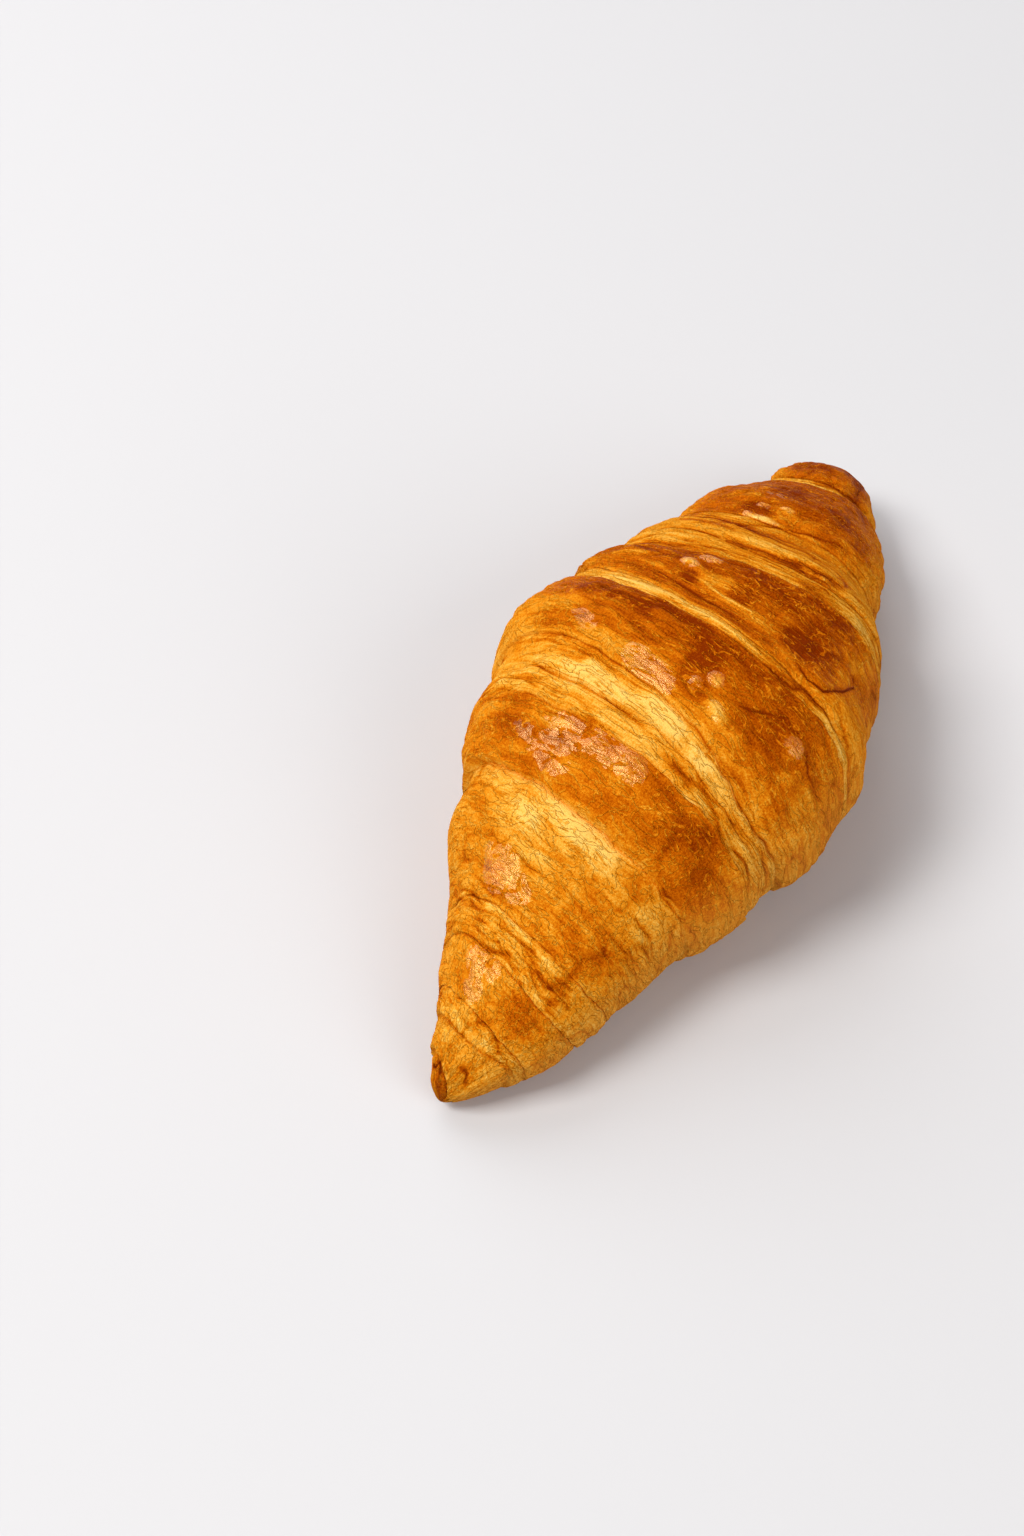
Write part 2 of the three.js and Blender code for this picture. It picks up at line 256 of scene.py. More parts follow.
# Lengths in mm. A tint is how much that kind of relief changes the browning, from 0 to 1.
crust = {
    "columns": 238,
    "underColumns": 46,       # columns of the mesh that lie on the flat underside
    "underside": (-38, 218),  # degrees round the roll at which that part ends and starts
    "crowding": 0.09,         # how much closer together the rings lie at the creases
    "overhang": 0.6,          # how far a sharply cut edge reaches over the wrap below it
    "edgeWander": 0.7,        # unevenness of the torn edges along the roll
    "softEdge": 2.4,          # reach of the slope where an edge isn't cut
    "edgeReach": 0.7,         # reach of the lip or the groove where it is
    "shadeReach": 0.5,        # reach of the painted shade line in the groove
    "lip": 0.30,              # raised thin edge on the upper side of a crease
    "groove": 0.42,           # extra depth on the lower side of a crease
    "calming": 0.7,           # share of the other relief that is lost beside an edge
    "strandDepth": 0.36,
    "layerDepth": 0.9,
    "blisterHeight": 0.4,
    "puffHeight": 1.2,        # swell of the palest places
    "flakeHeight": 0.45,      # small flakes that stand out on the two sides
    "wrinkleHeight": 0.55,
    "skinStretch": 1.5,       # how much shorter the wrinkles are along the roll than round it
    "skinWarp": 1.8,          # how far they are pushed about, so that they don't lie in rows
    "strandTint": 0.18,       # how much paler the strands are
    "layerTint": 0.36,        # how much paler the layers are where they swell
    "veinTint": 0.12,         # and how much darker the lines between them
    # painted highlights on the blister tops and painted shade in the valleys between them
    "blisterLightAndShadeTint": 0.06,
    "blotchTint": 0.07,
    "rimHighlightTint": 0.2,           # how much the painted highlight on the torn edges pales the crust
    "grooveShadeTint": 0.32,       # and how much the painted shade darkens the grooves below them
    "foldTint": 0.4,
    "foldReach": 0.9,         # reach of the browning beside a fold
    "tipBrown": 0.6,
    "boxRoom": 0.04,          # room left in the solid's box
}

# Random patterns on the crust: mm along the roll, cells round it, seed
patterns = {
    "raggedness": (30, 60, 7),
    "layerShare": (7, 14, 14),
    "broadWaver": (11, 12, 11),
    "fineWaver": (4, 40, 21),
    "broadLayers": (4.6, 7, 12),
    "thinLayers": (2.0, 10, 13),
    "foldWaver": (3, 30, 23),
    "sideFlakes": (2.6, 34, 31),
    "blotches": (8, 20, 19),
}

# Random patterns in space: mm across a cell, seed
skinPatterns = {"warp": (5.5, 17), "wrinkles": (4.2, 16), "bubbles": (2.2, 15)}

# Random patterns round the roll only: cells round it, first seed
roundPatterns = {
    "coarseTear": (26, 40),
    "fineTear": (70, 80),
    "cut": (18, 120),
    "strandDrift": (13, 160),
    "strandWidth": (11, 190),
}


def smoothStep(low, high, value):
    t = np.clip((value - low) / (high - low), 0, 1)
    return t * t * (3 - 2 * t)


# Bell-shaped fall from 1 to 0 over a reach
def nearness(gap, reach):
    return np.exp(-(gap / reach) ** 2)


# Smooth random field from -1 to 1 over a grid of cells; both ways round it closes on itself
def wander(u, v, rows, columns, seed):
    field = np.random.default_rng(seed).uniform(-1, 1, (rows, columns))
    u0, v0 = np.floor(u).astype(int), np.floor(v).astype(int)
    fu, fv = u - u0, v - v0
    fu, fv = fu * fu * (3 - 2 * fu), fv * fv * (3 - 2 * fv)
    a = field[u0 % rows, v0 % columns]
    b = field[(u0 + 1) % rows, v0 % columns]
    c = field[u0 % rows, (v0 + 1) % columns]
    d = field[(u0 + 1) % rows, (v0 + 1) % columns]
    return (a * (1 - fu) + b * fu) * (1 - fv) + (c * (1 - fu) + d * fu) * fv


# One of the listed patterns, laid on the crust
def crustField(flow, angle, name):
    cellLength, cellsRound, seed = patterns[name]
    fieldLength = 260
    rows = int(fieldLength / cellLength) + 1
    cells = angle / (2 * math.pi) * cellsRound
    return wander(flow / cellLength + rows, cells, rows, cellsRound, seed)


# A random line round the roll, or a place across a few such lines that lie side by side
def roundField(angle, name, seedStep=0, across=0.0, rows=1):
    cellsRound, seed = roundPatterns[name]
    cells = angle / (2 * math.pi) * cellsRound
    return wander(np.full_like(angle, across), cells, rows, cellsRound, seed + seedStep)


# Smooth random field in space from -1 to 1, which repeats after 24 cells
def spaceField(points, name):
    cellLength, seed = skinPatterns[name]
    size, firstCell = 24, 1000
    table = np.random.default_rng(seed).uniform(-1, 1, (size, size, size))
    place = points / cellLength + firstCell
    corner = np.floor(place).astype(int)
    t = place - corner
    t = t * t * (3 - 2 * t)
    total = np.zeros(len(points))
    for step in np.ndindex(2, 2, 2):
        share = np.prod([np.abs(1 - step[axis] - t[:, axis]) for axis in range(3)], axis=0)
        cell = (corner + step) % size
        total += share * table[cell[:, 0], cell[:, 1], cell[:, 2]]
    return total


# Swollen cells with creased borders, made from a smooth random field
def puffed(field):
    return np.abs(field) ** 0.6


# Smooth curve through values at even stations along the roll
def along(values, x):
    values = np.array(values, float)
    last = len(values) - 1
    place = (np.clip(x / roll["halfLength"], -1, 1) + 1) / 2 * last
    index = np.minimum(np.floor(place).astype(int), last - 1)
    before, start = values[np.maximum(index - 1, 0)], values[index]
    end, after = values[index + 1], values[np.minimum(index + 2, last)]
    t = place - index
    bend = t * (3 * (start - end) + after - before) + 2 * before - 5 * start + 4 * end - after
    return start + 0.5 * t * (end - before + t * bend)


# Place of a crease along the roll at each angle
def creasePlace(number, angle):
    left, top, right, under = creases[number]["place"]
    place = (left + top + right + under) / 4 + (left - right) / 2 * np.cos(angle)
    place = place + (top - under) / 2 * np.sin(angle) + creases[number]["skew"] * np.sin(2 * angle)
    return place + (left + right - top - under) / 4 * np.cos(2 * angle)


# The same crease torn a little unevenly, less where the roll is thin and not at all underneath
def tornCrease(number, angle):
    place = creasePlace(number, angle)
    fullWidth = 30
    share = np.clip(along(roll["leftWidths"], place) / fullWidth, 0.2, 1)
    share = share * smoothStep(-1.0, -0.2, np.sin(angle))
    uneven = 0.6 * roundField(angle, "coarseTear", number) + 0.4 * roundField(angle, "fineTear", number)
    return place + crust["edgeWander"] * uneven * share


# How sharply a crease is cut at each angle, from 0 to 1
def cutShare(number, angle):
    left, top, right = creases[number]["cut"]
    atLeft = smoothStep(0.1, 0.85, np.cos(angle))
    atRight = smoothStep(0.1, 0.85, -np.cos(angle))
    cut = np.clip(left * atLeft + right * atRight + top * (1 - atLeft - atRight), 0, 1)
    return cut * np.clip(1 + 0.5 * roundField(angle, "cut", number), 0, 1)


# Place along the roll as if every crease were square to it, so that patterns run with the creases
def flowPlace(x, angle):
    turn = np.linspace(0, 2 * math.pi, 72, endpoint=False)
    places = [creasePlace(number, np.array([angle]))[0] for number in range(len(creases))]
    means = [np.mean(creasePlace(number, turn)) for number in range(len(creases))]
    end = roll["halfLength"]
    return float(np.interp(x, [-end, *places, end], [-end, *means, end]))


# Whether the wrap on the far side of a crease is the upper one
def farSideIsUpper(number):
    return bands[number + 1]["level"][0] > bands[number]["level"][1]


# Low waves that keep the wraps from being perfectly even
def lumps(x, angle):
    total = np.zeros_like(angle)
    for wave in swellings:
        swing = np.sin(wave["rate"] * x + wave["round"] * angle + wave["phase"])
        total = total + wave["height"] * swing * np.cos(wave["beatRate"] * x + wave["beatRound"] * angle)
    return total


# Sine or cosine squared off into the fuller section of the roll
def squared(value):
    return np.sign(value) * np.abs(value) ** (2 / roll["sectionFullness"])


# Points of the crust at places along the roll, angles round it and relief levels
def crustPoints(x, angle, level):
    reach = np.clip(np.abs(x) / roll["halfLength"], 0, 1)
    bluntness = np.where(x < 0, roll["nearBluntness"], roll["farBluntness"])
    taper = np.sqrt(np.maximum(1 - reach ** bluntness, 0))
    left, right = along(roll["leftWidths"], x), along(roll["rightWidths"], x)
    halfWidth = (left + right) / 2 * taper
    slimness = roll["heightToWidth"] + roll["extraHeightAtTips"] * reach ** roll["extraHeightOnset"]
    height = 2 * halfWidth * slimness
    pressed = smoothStep(roll["pressedFrom"], roll["pressedFully"], -np.sin(angle))
    reliefShare = 1 - roll["flattening"] * pressed
    relief = (level + lumps(x, angle)) * reliefShare * np.minimum(1, roll["tipFade"] * taper)
    across, upward = squared(np.cos(angle)), squared(np.sin(angle))
    share = np.where(upward > 0, roll["upperShare"], roll["lowerShare"])
    y = (left - right) / 2 + (halfWidth + relief) * across
    z = np.maximum(roll["widestLine"] * height + (share * height + relief) * upward, 0)
    return np.stack([x, y, z + roll["tipLift"] * reach ** roll["tipLiftOnset"]], axis=-1)


# Angles of the mesh columns, from the +Y side over the top, with fewer underneath
def columnAngles():
    under = crust["underColumns"]
    upper = crust["columns"] - under
    start, end = np.radians(crust["underside"])
    top = start + (end - start) * np.arange(upper) / upper
    bottom = end + (2 * math.pi + start - end) * np.arange(under) / under
    return np.concatenate([top, bottom])


# Band and share of the way across it for each ring of the mesh, without the two tips
def ringPlan():
    steps = [(number, step / band["rings"]) for number, band in enumerate(bands)
             for step in range(band["rings"] + 1)]
    return steps[1:-1]


# Band in which a place of the crust lies
def bandAt(x, angle):
    return sum(creasePlace(number, angle) < x for number in range(len(creases)))


# Listed places of the crust, each with its band and its place along the crease pattern
def placed(listed):
    turned = []
    for x, degrees, *rest in listed:
        angle = math.radians(degrees)
        turned.append((bandAt(x, angle), flowPlace(x, angle), degrees, *rest))
    return turned


placedMarks, placedBlisters, placedSheens = placed(marks), placed(blisters), placed(sheens)


# How far points of a band lie from each place listed for it, as a share of the place's reach
def spots(places, bandNumber, flow, angle):
    degrees = np.degrees(angle) % 360
    for spotBand, spotFlow, spotAngle, reachX, reachAngle, amount in places:
        if spotBand == bandNumber:
            yield np.hypot((flow - spotFlow) / reachX, (degrees - spotAngle) / reachAngle), amount


# How far in mm points lie from a path over the crust, less than nothing on one side of it, and how
# far along it the nearest place is, from 0 to 1
def gapToPath(path, x, angle, radius):
    farAway, leastRadius = 99.0, 6
    gap, along01 = np.full_like(angle, farAway), np.zeros_like(angle)
    scale = np.maximum(radius, leastRadius) * math.pi / 180
    degrees = np.degrees(angle) % 360
    for number, ((x0, angle0), (x1, angle1)) in enumerate(zip(path, path[1:])):
        dx, dy = x1 - x0, (angle1 - angle0) * scale
        px, py = x - x0, (degrees - angle0) * scale
        t = np.clip((px * dx + py * dy) / (dx * dx + dy * dy), 0, 1)
        here = np.hypot(px - t * dx, py - t * dy)
        nearer = here < np.abs(gap)
        along01 = np.where(nearer, (number + t) / (len(path) - 1), along01)
        gap = np.where(nearer, np.where(dx * py > dy * px, here, -here), gap)
    return gap, along01


# Relief of the listed folds at each point, with the gap to the nearest and how much it browns there.
# They waver and run out at both ends.
def foldShape(x, angle, radius, waver):
    window = 3.0
    height, darkening = np.zeros_like(angle), np.zeros_like(angle)
    nearestGap = np.full_like(angle, window)
    for depth, brown, width, path in folds:
        places = [place for place, degrees in path]
        if x.min() < max(places) + window and x.max() > min(places) - window:
            gap, along01 = gapToPath(path, x + 0.6 * waver, angle, radius)
            share = np.sin(math.pi * np.clip(along01, 0, 1)) ** 0.5
            height = height - depth * share * nearness(gap, width)
            nearer = np.abs(gap) < np.abs(nearestGap)
            nearestGap = np.where(nearer, gap, nearestGap)
            reach = 1 - smoothStep(1.0, 1.7, np.abs(gap))
            darkening = np.where(nearer, brown * share * reach, darkening)
    return height, nearestGap, darkening


# Share of the way across a band, with rings closer together at the creases and towards the tips
def spread(bandNumber, fraction):
    if bandNumber == 0:
        return 1 - math.cos(fraction * math.pi / 2)
    if bandNumber == len(bands) - 1:
        return math.sin(fraction * math.pi / 2)
    return fraction - crust["crowding"] * math.sin(2 * math.pi * fraction)


# Place of a ring along the roll, the place it would have if the creases were square to the roll, and
# its two sides: crease, gap to it in mm, how sharply it is cut, own level, and whether this wrap is
# the upper one. The upper side of a crease reaches over the lower one, which runs on under it.
def ringPlace(bandNumber, t, angle):
    band = bands[bandNumber]
    none = np.zeros_like(angle)
    near, far = none - roll["halfLength"], none + roll["halfLength"]
    nearCut, farCut = none, none
    hasNear, hasFar = bandNumber > 0, bandNumber < len(bands) - 1
    if hasNear:
        near, nearCut = tornCrease(bandNumber - 1, angle), cutShare(bandNumber - 1, angle)
    if hasFar:
        far, farCut = tornCrease(bandNumber, angle), cutShare(bandNumber, angle)
    start, end = near - crust["overhang"] * nearCut / 2, far + crust["overhang"] * farCut / 2
    x = start + (end - start) * t
    flow = x + (np.mean(near) - near) * (1 - t) + (np.mean(far) - far) * t
    sides = []
    if hasNear:
        upper = farSideIsUpper(bandNumber - 1)
        sides.append((bandNumber - 1, (end - start) * t, nearCut, band["level"][0], upper))
    if hasFar:
        upper = not farSideIsUpper(bandNumber)
        sides.append((bandNumber, (end - start) * (1 - t), farCut, band["level"][1], upper))
    return x, flow, sides


# Change of level beside the creases, the painted highlights on the rims and the painted shade in the
# grooves there, and how much is left of the other relief
def edgeShape(sides, ragged):
    level, paintedRimHighlight, grooveShade = np.zeros_like(ragged), np.zeros_like(ragged), np.zeros_like(ragged)
    calm = np.ones_like(ragged)
    for number, gap, cut, ownLevel, upper in sides:
        meeting = (bands[number]["level"][1] + bands[number + 1]["level"][0]) / 2
        level = level + (meeting - ownLevel) * (1 - cut) * nearness(gap, crust["softEdge"])
        edge = nearness(gap, crust["edgeReach"])
        # the upper side gets a raised lip with a painted highlight, the lower side a groove with painted
        # shade
        if upper:
            level = level + crust["lip"] * ragged * cut * edge
            paintedRimHighlight = paintedRimHighlight + ragged * cut * edge
        else:
            level = level - crust["groove"] * (0.1 + 0.9 * cut) * edge
            grooveShade = grooveShade + cut * nearness(gap, crust["shadeReach"])
        calm = calm * (1 - crust["calming"] * edge)
    return level, paintedRimHighlight, grooveShade, calm


# Thick strands of dough along a band, of uneven width and drifting a little to its sides
def strandShape(bandNumber, t, angle):
    strands = bands[bandNumber]["strands"]
    if strands == 0:
        return np.zeros_like(angle)
    drift = 0.5 * roundField(angle, "strandDrift", bandNumber, 1.5 * t, 3)
    phase = strands * t + drift * math.sin(math.pi * t)
    width = np.clip(0.8 + 0.7 * roundField(angle, "strandWidth", 0, 2 * t, 3), 0.1, 1.4)
    return (puffed(np.sin(math.pi * phase)) - 0.75) * width


# Browning with its low sides paler, and with how dry the crust is there and how low it lies
def paleSides(brown, angle):
    lowSide = 1 - smoothStep(-0.2, 0.55, np.sin(angle))
    rightSide = smoothStep(0.1, 0.9, -np.cos(angle))
    dry = lowSide * (0.3 + 0.7 * rightSide)
    brown = brown * (1 - 0.4 * lowSide) + 0.16 * lowSide
    leftSide = 0.65 * smoothStep(0.45, 0.95, np.cos(angle))
    brown = brown * (1 - leftSide) + 0.36 * leftSide
    farSide = 0.45 * smoothStep(0.6, 0.95, -np.cos(angle))
    brown = brown * (1 - farSide) + 0.3 * farSide
    return brown, dry, lowSide


# Shape and bake of one ring of the crust
def crustRing(bandNumber, fraction, angle):
    band = bands[bandNumber]
    t = spread(bandNumber, fraction)
    x, flow, sides = ringPlace(bandNumber, t, angle)
    radius = (along(roll["leftWidths"], x) + along(roll["rightWidths"], x)) / 2
    ragged = 0.6 + 0.6 * crustField(flow, angle, "raggedness")
    edgeLevel, paintedRimHighlight, grooveShade, calm = edgeShape(sides, ragged)
    levelStart, levelEnd = band["level"]
    bulge = band["bulge"] * math.sin(math.pi * t) ** roll["bulgeRoundness"]
    level = levelStart + (levelEnd - levelStart) * t + bulge + edgeLevel

    # strands of dough along the band, with thinner layers on them
    layerShare = band["layers"] * np.clip(0.8 + 0.6 * crustField(flow, angle, "layerShare"), 0.1, 1.3)
    strand = strandShape(bandNumber, t, angle)
    waver = 0.9 * crustField(flow, angle, "broadWaver") + 0.5 * crustField(flow, angle, "fineWaver")
    broadLayers = crustField(flow + waver, angle, "broadLayers")
    thinLayers = crustField(flow + waver, angle, "thinLayers")
    veins = np.minimum(nearness(broadLayers, 0.16) + 0.5 * nearness(thinLayers, 0.2), 1)
    pillows = 0.7 * puffed(broadLayers) + 0.3 * puffed(thinLayers) - 0.5

    # wrinkles of the baked skin, folds, and the listed blisters
    skin = crustPoints(x, angle, level) * (crust["skinStretch"], 1, 1)
    skin = skin + crust["skinWarp"] * spaceField(skin, "warp")[:, None]
    wrinkles = spaceField(skin, "wrinkles")
    bubbles = puffed(wrinkles) - 0.5
    smallBubbles = puffed(spaceField(skin, "bubbles")) - 0.5
    foldHeight, foldGap, foldBrown = foldShape(x, angle, radius, crustField(flow, angle, "foldWaver"))
    raised = np.zeros_like(angle)
    for farOut, height in spots(placedBlisters, bandNumber, flow, angle):
        raised = raised + height * (1 - smoothStep(0.6, 1.15, farOut + 0.25 * wrinkles))

    # egg-washed patches, broken by the creases between the bubbles
    sheen = np.zeros_like(angle)
    for farOut, strength in spots(placedSheens, bandNumber, flow, angle):
        sheen = np.maximum(sheen, strength * (1 - smoothStep(0.75, 1.35, farOut + 0.3 * wrinkles)))
    sheen = sheen * smoothStep(-0.42, -0.25, bubbles) * smoothStep(-0.46, -0.3, smallBubbles)

    # browning across the band and in the listed places, of which the pale ones swell
    brownStart, brownMiddle, brownEnd = band["brown"]
    brown = brownStart * (1 - t) * (1 - 2 * t) + brownMiddle * 4 * t * (1 - t)
    brown = brown + brownEnd * t * (2 * t - 1)
    for farOut, amount in spots(placedMarks, bandNumber, flow, angle):
        shape = np.exp(-(farOut * (1 + 0.4 * wrinkles)) ** 4)
        brown = brown + amount * shape
        raised = raised + crust["puffHeight"] * max(-amount, 0) * shape
    crown = smoothStep(0.4, 0.65, brown)

    # all the fine relief, which fades where the two tips close
    relief = crust["strandDepth"] * strand + crust["layerDepth"] * layerShare * pillows + raised
    relief = relief + crust["wrinkleHeight"] * bubbles * (0.4 + 0.6 * crown)
    relief = relief + crust["blisterHeight"] * smallBubbles * (0.3 + 0.7 * crown)
    flanks = smoothStep(0.7, 0.95, np.abs(np.cos(angle))) * smoothStep(-0.4, 0.0, np.sin(angle))
    relief = relief + crust["flakeHeight"] * flanks * crustField(flow, angle, "sideFlakes")
    tipGap = {0: t, len(bands) - 1: 1 - t}.get(bandNumber, 1)
    level = level + relief * min(1, 3 * tipGap) * calm + foldHeight

    # layers, strands, blotches and folds change the browning; blister tops get painted highlights and
    # their valleys painted shade, and the edges painted highlights on their rims and painted shade in
    # their grooves
    brown = brown + layerShare * (crust["veinTint"] * veins - crust["layerTint"] * pillows)
    brown = brown - crust["strandTint"] * strand
    brown = brown - crust["blisterLightAndShadeTint"] * (bubbles + smallBubbles) * (0.4 + 0.6 * crown)
    brown = brown + crust["blotchTint"] * crustField(flow, angle, "blotches")
    brown = brown - crust["rimHighlightTint"] * paintedRimHighlight + crust["grooveShadeTint"] * grooveShade
    brown = brown + crust["foldTint"] * foldBrown * nearness(foldGap, crust["foldReach"])
    brown, dry, lowSide = paleSides(brown, angle)
    meanRadius = 30
    around = np.stack([flow, meanRadius * np.cos(angle), meanRadius * np.sin(angle)], axis=-1)
    return {
        "points": crustPoints(x, angle, level),
        "brown": np.clip(brown, 0, 1),
        "dry": dry,
        "gloss": smoothStep(0.3, 0.7, brown) * (1 - 0.8 * dry),
        "layered": np.clip(layerShare + 0.7 * lowSide, 0, 1),
        "sheen": sheen,
        "wrapFlow": around * mm,
        "broadLayers": broadLayers,
        "thinLayers": thinLayers,
        "wrinkles": wrinkles,
        "foldGap": foldGap,
        "foldBrown": foldBrown,
    }


singleCoats = (
    "brown", "dry", "gloss", "layered", "sheen", "broadLayers", "thinLayers", "wrinkles", "foldGap",
    "foldBrown",
)


# Places and coats of all the mesh's points, given the ring and the column of each
def bakedCrust(ringOf, columnOf):
    plan = ringPlan()
    angles = columnAngles()
    places = np.zeros((len(ringOf), 3))
    coats = {name: np.zeros(len(ringOf)) for name in singleCoats}
    coats["wrapFlow"] = np.zeros((len(ringOf), 3))
    for ring, (bandNumber, fraction) in enumerate(plan, start=1):
        shape = crustRing(bandNumber, fraction, angles)
        members = np.nonzero(ringOf == ring)[0]
        column = columnOf[members]
        places[members] = shape["points"][column]
        for name, values in coats.items():
            values[members] = shape[name][column]
    for ring, end in ((0, -roll["halfLength"]), (len(plan) + 1, roll["halfLength"])):
        tip = np.nonzero(ringOf == ring)[0]
        places[tip] = crustPoints(np.array([end]), np.array([0.0]), 0.0)
        coats["brown"][tip] = crust["tipBrown"]
        coats["wrapFlow"][tip] = (end * mm, 0, 0)
    return places, coats


# Sets the points over the solid, drawn in by the little that the flakes stand out of its box
def setOverSolid(places):
    low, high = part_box("croissant")
    size = places.max(axis=0) - places.min(axis=0)
    places *= np.minimum(1, ((np.array(high) - np.array(low)) / mm - crust["boxRoom"]) / size)
    middle = (places.min(axis=0) + places.max(axis=0)) / 2
    places[:, 0] += (low.x + high.x) / 2 / mm - middle[0]
    places[:, 1] += (low.y + high.y) / 2 / mm - middle[1]
    places[:, 2] += low.z / mm - places[:, 2].min()
    return places * mm


# Crust: a sphere laid along the roll, with each of its rings pulled onto the wraps
def makeCrust():
    columns, rings = crust["columns"], len(ringPlan()) + 1
    bpy.ops.object.select_all(action="DESELECT")
    bpy.ops.mesh.primitive_uv_sphere_add(segments=columns, ring_count=rings, radius=1.0)
    piece = bpy.context.object
    piece.name = "croissantCrust"
    mesh = piece.data
    ball = np.empty(len(mesh.vertices) * 3)
    mesh.vertices.foreach_get("co", ball)
    ball = ball.reshape(-1, 3)
    ringOf = np.rint(np.arccos(np.clip(ball[:, 2], -1, 1)) / math.pi * rings).astype(int)
    # the sphere's columns start at a quarter turn, which isn't a whole number of them
    turns = np.arctan2(ball[:, 1], ball[:, 0]) / (2 * math.pi) - 0.25
    columnOf = np.rint(turns * columns).astype(int) % columns

    places, coats = bakedCrust(ringOf, columnOf)
    mesh.vertices.foreach_set("co", setOverSolid(places).ravel())
    for name, values in coats.items():
        single = values.ndim == 1
        layer = mesh.attributes.new(name, "FLOAT" if single else "FLOAT_VECTOR", "POINT")
        layer.data.foreach_set("value" if single else "vector", values.astype(np.float32).ravel())
    mesh.update()

    bpy.ops.object.mode_set(mode="EDIT")
    bpy.ops.mesh.select_all(action="SELECT")
    bpy.ops.mesh.normals_make_consistent(inside=False)
    bpy.ops.object.mode_set(mode="OBJECT")
    bpy.ops.object.shade_smooth()
    return piece


def linear(hexColour):
    values = [int(hexColour[i:i + 2], 16) / 255 for i in (1, 3, 5)]
    values = [v / 12.92 if v <= 0.04045 else ((v + 0.055) / 1.055) ** 2.4 for v in values]
    return (*values, 1.0)


# Adds a node with its settings, and links or sets its inputs
def addNode(tree, kind, settings=None, inputs=None):
    node = tree.nodes.new(kind)
    for key, value in (settings or {}).items():
        setattr(node, key, value)
    for key, value in (inputs or {}).items():
        if isinstance(value, bpy.types.NodeSocket):
            tree.links.new(value, node.inputs[key])
        else:
            node.inputs[key].default_value = value
    return node


def newMaterial(name):
    material = bpy.data.materials.new(name)
    material.use_nodes = True
    tree = material.node_tree
    tree.nodes.clear()
    output = addNode(tree, "ShaderNodeOutputMaterial")
    shader = addNode(tree, "ShaderNodeBsdfPrincipled")
    tree.links.new(shader.outputs["BSDF"], output.inputs["Surface"])
    return material, tree, shader


finish = {
    "stops": ("#F6C260", "#EBA538", "#DB8412", "#C46204", "#A14600", "#7C2900"),  # pale to dark
    "paler": 0.042,           # taken off every shade
    "dryCrust": "#C07E30",
    "dryShare": 0.5,
    "glaze": "#FFDC9C",
    "satinRoughness": (0.7, 0.42),  # of pale crust and of brown
    "washRoughness": 0.22,
    "satinShine": 0.01,
    "washShine": 1.5,
    "washSmoothness": 0.2,    # share of the fine relief that the wash fills
    "patchEdge": (0.5, 0.62),
    "islandEdge": (0.5, 0.58),
}

# Fine patterns of the skin: mm across the creases, mm along them, detail, roughness, swirl
grains = {
    "threads": (0.5, 6.0, 3.0, 0.65, 0.0),
    "strokes": (1.3, 4.0, 3.0, 0.65, 0.0),
    "creasing": (1.8, 4.5, 2.0, 0.55, 0.8),
    "hairLines": (1.5, 24.0, 2.0, 0.5, 0.5),
    "specks": (0.38, 0.38, 2.0, 0.7, 0.0),
    "islands": (1.8, 5.0, 4.0, 0.65, 0.0),
}

# Half widths of the thin lines, in the units of the patterns that they follow
lineWidths = {
    "broadLayers": 0.10, "thinLayers": 0.16, "hairLines": 0.03, "wrinkles": 0.09, "foldGap": 0.45,
    "creasing": 0.035,
}

# How much each pattern darkens the crust, and its relief in mm, which is finer than the mesh
weights = {
    "threads": (-0.9, 0.4),
    "strokes": (-0.35, 0.3),
    "specks": (-0.8, 0.15),
    "line": (0.22, -0.09),
    "hair": (0.18, -0.06),
    "valleyShade": (0.03, -0.04),
    "fold": (1.05, -0.6),
    "island": (0.08, 0.0),
    "wrinkle": (0.0, 0.2),
}


